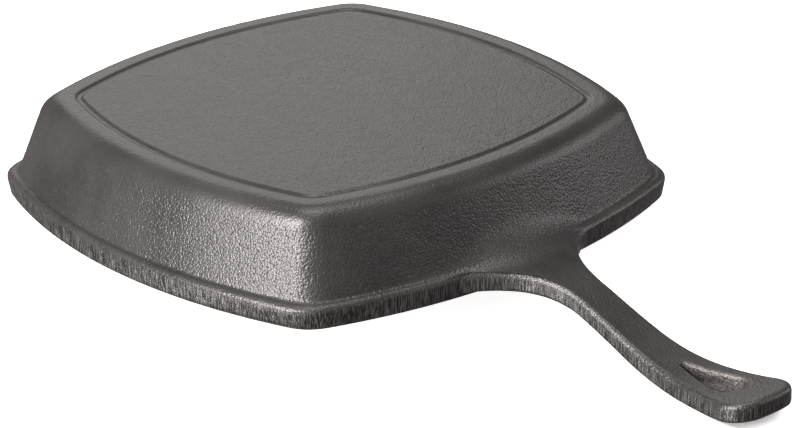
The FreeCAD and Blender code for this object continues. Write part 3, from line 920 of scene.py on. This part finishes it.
@dataclass(frozen=True)
class SeasonedIron:
    """Cast iron under a baked-on layer of oil: near black, with a sand-cast grain."""

    dark: float = 0.014
    pale: float = 0.024
    worn: float = 0.13
    bare: float = 0.065
    rough: float = 0.37
    grain_size: float = 1.05 * MM
    grain_height: float = 0.23 * MM
    stroke_size: float = 0.5 * MM
    stroke_height: float = 0.36 * MM
    stroke_stretch: tuple[float, float, float] = (1.0, 1.0, 0.06)
    drift_size: float = 34 * MM
    pebble_weight: float = 0.9
    peak_weight: float = 0.5
    coarse_weight: float = 0.4
    fine_weight: float = 0.2
    drift_roughens: float = 0.16
    fine_roughens: float = 0.10
    grinding_smooths: float = 0.10
    baring_roughens: float = 0.06
    metal: float = 0.6
    seed: float = 3.0

    def build(self) -> bpy.types.Material:
        """Make the material.

        Returns:
            The material, which reads the grain, ground and bare values of its mesh.
        """
        material, tree = new_material(IRON_SLOT)
        place = tree.node("ShaderNodeTexCoord").outputs["Object"]
        grain, ground, bare = (self.carried(tree, name) for name in ("grain", "ground", "bare"))
        upright = tree.stretched(place, self.stroke_stretch)
        strokes = tree.noise(upright, self.stroke_size, detail=2.0, rough=0.6, seed=self.seed)
        peaks = tree.noise(place, self.grain_size, detail=1.5, rough=0.55, seed=self.seed + 1)
        coarse = tree.noise(place, 1.9 * self.grain_size, detail=1.0, rough=0.5, seed=self.seed + 2)
        fine = tree.noise(place, 0.4 * self.grain_size, detail=1.0, rough=0.5, seed=self.seed + 3)
        drift = tree.noise(place, self.drift_size, detail=3.0, rough=0.55, seed=self.seed + 4)
        colour = self.colour(tree, grain, ground, bare, peaks, strokes, drift)
        rough = self.rough + self.drift_roughens * (drift - 0.5) + self.fine_roughens * (fine - 0.5)
        rough = rough - self.grinding_smooths * ground + self.baring_roughens * bare
        pebbles = tree.pebbles(place, self.grain_size)
        sand = (0.3 - pebbles * pebbles) * self.pebble_weight + (peaks - 0.5) * self.peak_weight
        sand = sand + (coarse - 0.5) * self.coarse_weight + (fine - 0.5) * self.fine_weight
        height = sand * grain * self.grain_height + (strokes - 0.5) * ground * self.stroke_height
        bump = tree.node("ShaderNodeBump", None, {"Strength": 1.0, "Distance": 1.0, "Height": height})
        metal = ground * self.metal
        tree.surface({"Base Color": colour, "Roughness": rough, "Metallic": metal, "Normal": bump.outputs[0]})
        return material

    def carried(self, tree: Tree, name: str) -> Flow:
        """Return a value that the mesh carries."""
        return Flow(tree, tree.node("ShaderNodeAttribute", {"attribute_name": name}).outputs["Fac"])

    def colour(
        self, tree: Tree, grain: Flow, ground: Flow, bare: Flow, peaks: Flow, strokes: Flow, drift: Flow
    ) -> bpy.types.NodeSocket:
        """Mix the colour.

        Args:
            tree: the material's tree.
            grain: how rough the casting is.
            ground: how ground it is.
            bare: how bare it is.
            peaks: the grain itself.
            strokes: the marks of grinding.
            drift: the slow change over the whole casting.

        Returns:
            The colour, from black seasoning to worn edges and bare iron.
        """
        seasoning = tree.mix(drift.between(0.3, 0.7), grey(self.dark, 0.03), grey(self.pale, 0.05))
        sanded = tree.mix(peaks.between(0.5, 0.75) * grain * 0.5, seasoning, grey(1.6 * self.pale, 0.02))
        worn = tree.mix(ground * strokes.between(0.42, 0.66), sanded, grey(self.worn, 0.02))
        return tree.mix(bare * peaks.between(0.35, 0.65), worn, grey(self.bare, 0.10))


# ---- the casting -------------------------------------------------------------------------------

@dataclass
class CastSkin:
    """The uneven skin that sand leaves on a casting and a wheel on its ground faces."""

    swell_size: float = 7.0 * MM
    swell_height: float = 0.10 * MM
    grind_size: float = 1.6 * MM
    grind_depth: float = 0.05 * MM
    grind_stretch: tuple[float, float, float] = (1.0, 1.0, 0.08)
    least_swell: float = 0.3
    seed: float = 11.0

    def tree(self) -> bpy.types.NodeTree:
        """Build the tree of nodes that moves a mesh's points.

        Returns:
            The tree, with named inputs for its sizes, its seed and the iron.
        """
        group = bpy.data.node_groups.new("cast skin", "GeometryNodeTree")
        face = group.interface
        face.new_socket("Geometry", in_out="INPUT", socket_type="NodeSocketGeometry")
        for name in ("Swell size", "Swell height", "Grind size", "Grind depth", "Seed"):
            face.new_socket(name, in_out="INPUT", socket_type="NodeSocketFloat")
        face.new_socket("Iron", in_out="INPUT", socket_type="NodeSocketMaterial")
        face.new_socket("Geometry", in_out="OUTPUT", socket_type="NodeSocketGeometry")
        tree = Tree(group)
        given = tree.node("NodeGroupInput").outputs
        place = tree.node("GeometryNodeInputPosition").outputs[0]
        swell = self.spread(tree, place, given["Swell size"], given["Seed"])
        upright = tree.stretched(place, self.grind_stretch)
        strokes = self.spread(tree, upright, given["Grind size"], given["Seed"])
        grain, ground = (self.carried(tree, name) for name in ("grain", "ground"))
        unevenness = self.least_swell + (1 - self.least_swell) * grain
        push = (swell - 1.0) * Flow(tree, given["Swell height"]) * unevenness * (1.0 - ground)
        push = push + (strokes - 1.0) * Flow(tree, given["Grind depth"]) * ground
        normal = tree.node("GeometryNodeInputNormal").outputs[0]
        offset = tree.node("ShaderNodeVectorMath", {"operation": "SCALE"}, {0: normal, "Scale": push})
        inputs = {"Geometry": given["Geometry"], "Offset": offset.outputs[0]}
        moved = tree.node("GeometryNodeSetPosition", None, inputs)
        real = tree.node("GeometryNodeRealizeInstances", None, {"Geometry": moved.outputs[0]})
        inputs = {"Geometry": real.outputs[0], "Material": given["Iron"]}
        dressed = tree.node("GeometryNodeSetMaterial", None, inputs)
        tree.node("NodeGroupOutput", None, {"Geometry": dressed.outputs[0]})
        return group

    def spread(
        self, tree: Tree, place: bpy.types.NodeSocket, size: bpy.types.NodeSocket, seed: bpy.types.NodeSocket
    ) -> Flow:
        """Add a noise whose patches have a size.

        Args:
            tree: the tree to add to.
            place: the position.
            size: rough size of one patch.
            seed: the fourth coordinate.

        Returns:
            The noise, from about -1 to 1.
        """
        scale = tree.node("ShaderNodeMath", {"operation": "DIVIDE"}, {0: 1.0, 1: size}).outputs[0]
        inputs = {"Vector": place, "Scale": scale, "W": seed, "Detail": 1.0, "Roughness": 0.4}
        found = tree.node("ShaderNodeTexNoise", {"noise_dimensions": "4D"}, inputs)
        return (Flow(tree, found.outputs[0]) - 0.5) * 3.0

    def carried(self, tree: Tree, name: str) -> Flow:
        """Return a value that the mesh carries."""
        found = tree.node("GeometryNodeInputNamedAttribute", {"data_type": "FLOAT"}, {"Name": name})
        return Flow(tree, found.outputs[0])

    def apply(self, target: bpy.types.Object, iron: bpy.types.Material) -> None:
        """Move a mesh's points for good and give it its material.

        Args:
            target: the casting.
            iron: its material.
        """
        modifier = target.modifiers.new("cast skin", "NODES")
        modifier.node_group = self.tree()
        values = {
            "Swell size": self.swell_size,
            "Swell height": self.swell_height,
            "Grind size": self.grind_size,
            "Grind depth": self.grind_depth,
            "Seed": self.seed,
            "Iron": iron,
        }
        for item in modifier.node_group.interface.items_tree:
            if item.in_out == "INPUT" and item.name in values:
                modifier[item.identifier] = values[item.name]
        settle(target)


def settle(target: bpy.types.Object) -> None:
    """Replace an object's mesh with what its modifiers make of it, and remove them.

    Args:
        target: the object.
    """
    bpy.context.view_layer.update()
    found = target.evaluated_get(bpy.context.evaluated_depsgraph_get())
    mesh = bpy.data.meshes.new_from_object(found)
    target.modifiers.clear()
    target.data = mesh


HANDLE_FACES = (Face.HANDLE_TOP, Face.HANDLE_BAND, Face.HANDLE_SIDE)
# The fillet over the handle's root doesn't push the points of these faces.
FIXED_FACES = (Face.HANDLE_BAND, Face.HANDLE_SIDE, Face.GROUND)


@dataclass
class Casting:
    """The whole skillet: the pan with its handle, hollowed, pierced, smoothed and dressed.

    The smoothing is full near the seam between them and fades out with distance, and so does
    the slow change of finish. A margin above 1 widens the zone where it is full.
    """

    pan: Pan
    handle: Handle
    skin: CastSkin
    iron: SeasonedIron
    blend_reach: float = 7.0 * MM
    blend_rounds: int = 14
    blend_margin: float = 1.3
    blend_floor: float = 8.0 * MM
    blend_rise: float = 2.5 * MM
    crease_depth: float = 0.3 * MM
    touch_rounds: int = 3
    fade_reach: float = 14.0 * MM
    fade_rounds: int = 160
    fade_margin: float = 1.5
    fade_floor: float = 10 * MM

    def build(self) -> bpy.types.Object:
        """Build the finished casting.

        Returns:
            The object, with its material.
        """
        body = self.pan.block()
        self.combine(body, self.handle.slab(), "UNION")
        seam = self.melt(body)
        self.combine(body, self.pan.well_core(), "DIFFERENCE")
        self.combine(body, self.handle.hole_cutter(), "DIFFERENCE")
        self.carry_touches(body, seam)
        body.data.shade_smooth()
        self.skin.apply(body, self.iron.build())
        body.data.set_sharp_from_angle(angle=math.radians(60))
        body.name = body.data.name = "casting"
        return body

    def combine(self, body: bpy.types.Object, other: bpy.types.Object, operation: str) -> None:
        """Join another closed skin to the body, or cut it away.

        Args:
            body: what is changed.
            other: the skin, which is used up.
            operation: UNION or DIFFERENCE.
        """
        modifier = body.modifiers.new("cut", "BOOLEAN")
        modifier.operation = operation
        modifier.solver = "MANIFOLD"
        modifier.object = other
        settle(body)
        bpy.data.objects.remove(other)

    def melt(self, body: bpy.types.Object) -> Points:
        """Smooth the seam between the pan and the handle, as a casting's fillet.

        Args:
            body: the pan and the handle in one mesh.

        Returns:
            The points of the seam.
        """
        mesh = body.data
        points = read_points(mesh)
        pan_faces = [kind for kind in Face if kind not in HANDLE_FACES]
        seam = points[touching(mesh, HANDLE_FACES) & touching(mesh, pan_faces)]
        above = points[:, 2] > self.handle.root_top - self.crease_depth
        free = (points[:, 0] > self.pan.crown) & above & ~touching(mesh, FIXED_FACES)
        points[free] = self.handle.fill_saddle(points[free])
        weight = np.clip(self.blend_margin - distances(points, seam) / self.blend_reach, 0, 1)
        weight *= np.clip((points[:, 2] - self.blend_floor) / self.blend_rise, 0, 1)
        write_points(mesh, relax(points, read_edges(mesh), weight, self.blend_rounds))
        return seam

    def carry_touches(self, body: bpy.types.Object, seam: Points) -> None:
        """Write what each kind of face is like onto the points, softly from kind to kind.

        Args:
            body: the casting.
            seam: points round which the change is slow.
        """
        mesh = body.data
        kinds, edges = read_kinds(mesh), read_edges(mesh)
        corner_faces, corners = read_corners(mesh)
        table = np.array([(TOUCHES[kind].grain, TOUCHES[kind].ground, TOUCHES[kind].bare) for kind in Face])
        total = np.zeros((len(mesh.vertices), 3))
        np.add.at(total, corners, table[kinds[corner_faces]])
        count = np.bincount(corners, minlength=len(total))[:, None]
        values = relax(total / np.maximum(count, 1), edges, np.ones(len(total)), self.touch_rounds)
        points = read_points(mesh)
        near = np.clip(self.fade_margin - distances(points, seam) / self.fade_reach, 0, 1)
        near *= points[:, 2] > self.fade_floor
        values = relax(values, edges, near, self.fade_rounds)
        for name, column in zip(("grain", "ground", "bare"), values.T):
            made = mesh.attributes.new(name, "FLOAT", "POINT")
            made.data.foreach_set("value", column.astype(np.float32))


def distances(points: Points, others: Points) -> np.ndarray:
    """Measure how far points are from some others.

    Args:
        points: (n, 3) points to measure from.
        others: (m, 3) points to measure to.

    Returns:
        For each point, the distance to the nearest of the others.
    """
    tree = KDTree(len(others))
    for number, other in enumerate(others):
        tree.insert(other, number)
    tree.balance()
    return np.array([tree.find(point)[2] for point in points])


def touching(mesh: bpy.types.Mesh, kinds: Iterable[Face]) -> np.ndarray:
    """Find the points that belong to faces of some kinds.

    Args:
        mesh: the mesh.
        kinds: the kinds of faces.

    Returns:
        For each point, whether it does.
    """
    wanted = np.isin(read_kinds(mesh), [kind.value for kind in kinds])
    corner_faces, corners = read_corners(mesh)
    found = np.zeros(len(mesh.vertices), bool)
    found[corners[wanted[corner_faces]]] = True
    return found


def read_all(items: Any, name: str, each: int = 1, kind: type = int) -> np.ndarray:
    """Read one property of all the points, edges, faces or corners of a mesh.

    Args:
        items: the points, edges, faces or corners.
        name: the property.
        each: how many numbers it has on each item.
        kind: the kind of number.

    Returns:
        The numbers, (n,) or (n, each).
    """
    found = np.empty(each * len(items), kind)
    items.foreach_get(name, found)
    return found if each == 1 else found.reshape(-1, each)


def read_points(mesh: bpy.types.Mesh) -> Points:
    """Return a mesh's points as (n, 3)."""
    return read_all(mesh.vertices, "co", 3, float)


def write_points(mesh: bpy.types.Mesh, points: Points) -> None:
    """Move a mesh's points."""
    mesh.vertices.foreach_set("co", points.ravel())
    mesh.update()


def read_kinds(mesh: bpy.types.Mesh) -> np.ndarray:
    """Return the kind of each face."""
    return read_all(mesh.polygons, "material_index")


def read_corners(mesh: bpy.types.Mesh) -> tuple[np.ndarray, np.ndarray]:
    """Return, for each corner of each face, the number of its face and of its point."""
    sizes = read_all(mesh.polygons, "loop_total")
    return np.repeat(np.arange(len(sizes)), sizes), read_all(mesh.loops, "vertex_index")


def read_edges(mesh: bpy.types.Mesh) -> np.ndarray:
    """Return a mesh's edges as (n, 2)."""
    return read_all(mesh.edges, "vertices", 2)


def relax(values: Points, edges: np.ndarray, weight: np.ndarray, rounds: int) -> Points:
    """Move values on points towards the mean of their neighbours.

    Args:
        values: (n, k) values.
        edges: (m, 2) pairs of neighbours.
        weight: how far each goes, from 0 for not at all to 1 for half of the way.
        rounds: how many times.

    Returns:
        The new values, (n, k).
    """
    count = np.bincount(edges.ravel(), minlength=len(values))[:, None]
    for _ in range(rounds):
        total = np.zeros_like(values)
        for column in range(values.shape[1]):
            total[:, column] += np.bincount(edges[:, 0], values[edges[:, 1], column], len(values))
            total[:, column] += np.bincount(edges[:, 1], values[edges[:, 0], column], len(values))
        mean = total / np.maximum(count, 1)
        values = values + (mean - values) * 0.5 * weight[:, None]
    return values


# ---- the studio --------------------------------------------------------------------------------

@dataclass(frozen=True)
class Softbox:
    """A large soft light that faces the skillet."""

    name: str
    towards: tuple[float, float, float]
    reach: float
    size: tuple[float, float]
    power: float

    def build(self, target: Vector) -> None:
        """Hang the light and turn it to the target.

        Args:
            target: the place it faces.
        """
        lamp = bpy.data.lights.new(self.name, "AREA")
        lamp.shape = "RECTANGLE"
        lamp.size, lamp.size_y = self.size
        lamp.energy = self.power
        lamp.color = TINT
        made = new_object(self.name, lamp)
        made.location = target + Vector(self.towards).normalized() * self.reach
        made.rotation_euler = (made.location - target).to_track_quat("Z", "Y").to_euler()
        made.visible_camera = False


@dataclass
class Studio:
    """A pale floor, soft light and the camera.

    The camera looks at the target from a turn, a rise and a distance, in degrees and metres.
    """

    turn: float = 48.62
    rise: float = 23.31
    roll: float = -1.02
    reach: float = 1.5426
    target: tuple[float, float, float] = (0.0801, -0.0250, 0.0198)
    lens: float = 152.8
    sensor: float = 36.0
    shift: tuple[float, float] = (-0.0088, 0.0017)
    floor_size: float = 16.0
    floor_gap: float = 0.2 * MM
    floor_glow: float = 0.90
    shade_reach: float = 60 * MM
    shade_range: tuple[float, float] = (0.05, 0.42)
    sky: float = 0.26
    lights: tuple[Softbox, ...] = (
        Softbox("low_key", (-0.04, -0.96, 0.20), reach=1.5, size=(0.34, 0.40), power=34.0),
        Softbox("high_key", (0.02, -0.80, 0.60), reach=1.5, size=(0.40, 0.40), power=40.0),
        Softbox("back", (-0.774, 0.522, 0.358), reach=1.8, size=(0.9, 0.6), power=3.3),
        Softbox("top", (-0.1, 0.1, 1.0), reach=1.8, size=(0.9, 0.9), power=15.0),
        Softbox("side", (0.48, 0.84, 0.25), reach=1.8, size=(1.2, 0.9), power=10.0),
        Softbox("bounce", (-0.12, -0.91, -0.38), reach=1.5, size=(0.4, 0.3), power=9.0),
    )

    def camera(self) -> None:
        """Place the camera and make it the scene's."""
        turn, rise, roll = (math.radians(angle) for angle in (self.turn, self.rise, self.roll))
        back = Vector((math.sin(turn) * math.cos(rise), -math.cos(turn) * math.cos(rise), math.sin(rise)))
        right = Vector((math.cos(turn), math.sin(turn), 0))
        up = back.cross(right)
        across = math.cos(roll) * right + math.sin(roll) * up
        upward = -math.sin(roll) * right + math.cos(roll) * up
        data = bpy.data.cameras.new("camera")
        data.lens = self.lens
        data.sensor_width = self.sensor
        data.shift_x, data.shift_y = self.shift
        made = new_object("camera", data)
        place = Matrix.Translation(Vector(self.target) + back * self.reach)
        made.matrix_world = place @ Matrix((across, upward, back)).transposed().to_4x4()
        bpy.context.scene.camera = made

    def floor(self, casting: bpy.types.Object, pan: Pan) -> None:
        """Lay the floor under the far side of the rim and the handle's underside.

        Args:
            casting: the object that stands on it.
            pan: the pan whose rim it touches.
        """
        points = read_points(casting.data)
        beyond = points[points[:, 0] > pan.half]
        slope = float(np.max(-beyond[:, 2] / (beyond[:, 0] + pan.half)))
        half = self.floor_size / 2
        sides = ((-half, -half), (half, -half), (half, half), (-half, half))
        corners = [(x, y, -slope * (x + pan.half) - self.floor_gap) for x, y in sides]
        mesh = bpy.data.meshes.new("floor")
        mesh.from_pydata(corners, [], [(0, 1, 2, 3)])
        mesh.materials.append(self.paper())
        made = new_object("floor", mesh)
        made.visible_diffuse = made.visible_glossy = made.visible_shadow = False

    def paper(self) -> bpy.types.Material:
        """Make the floor's material.

        Returns:
            A pale material that glows, with painted shade where the skillet closes it in: there it glows
            less.
        """
        material, tree = new_material("floor")
        settings, inputs = {"samples": 8}, {"Distance": self.shade_reach}
        # Painted shade: the floor's glow falls with the ambient occlusion, where the skillet closes the floor
        # in.
        open_sky = Flow(tree, tree.node("ShaderNodeAmbientOcclusion", settings, inputs).outputs["AO"])
        tree.surface({
            "Base Color": grey(0.85),
            "Roughness": 0.8,
            "Emission Color": grey(1.0),
            "Emission Strength": open_sky.between(*self.shade_range) * self.floor_glow,
        })
        return material

    def build(self, casting: bpy.types.Object, pan: Pan) -> None:
        """Set up the camera, the floor and the light.

        Args:
            casting: the skillet.
            pan: its pan.
        """
        self.camera()
        self.floor(casting, pan)
        for light in self.lights:
            light.build(Vector(self.target))
        world = bpy.data.worlds.new("studio")
        world.use_nodes = True
        sky = world.node_tree.nodes["Background"].inputs
        sky["Color"].default_value = (*TINT, 1.0)
        sky["Strength"].default_value = self.sky
        bpy.context.scene.world = world
        bpy.context.scene.view_settings.view_transform = "Standard"


def main() -> None:
    """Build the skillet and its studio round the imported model."""
    logging.basicConfig(level=logging.INFO, format="%(name)s: %(message)s")
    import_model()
    low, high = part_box(CASTING)
    pan = Pan(half=-low.x, depth=high.z)
    handle = Handle(pan=pan, tip=high.x)
    casting = Casting(pan, handle, CastSkin(), SeasonedIron()).build()
    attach(casting, "root")
    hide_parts(CASTING)
    log.info("casting: %d points, %d faces", len(casting.data.vertices), len(casting.data.polygons))
    Studio().build(casting, pan)


if __name__ == "__main__":
    main()
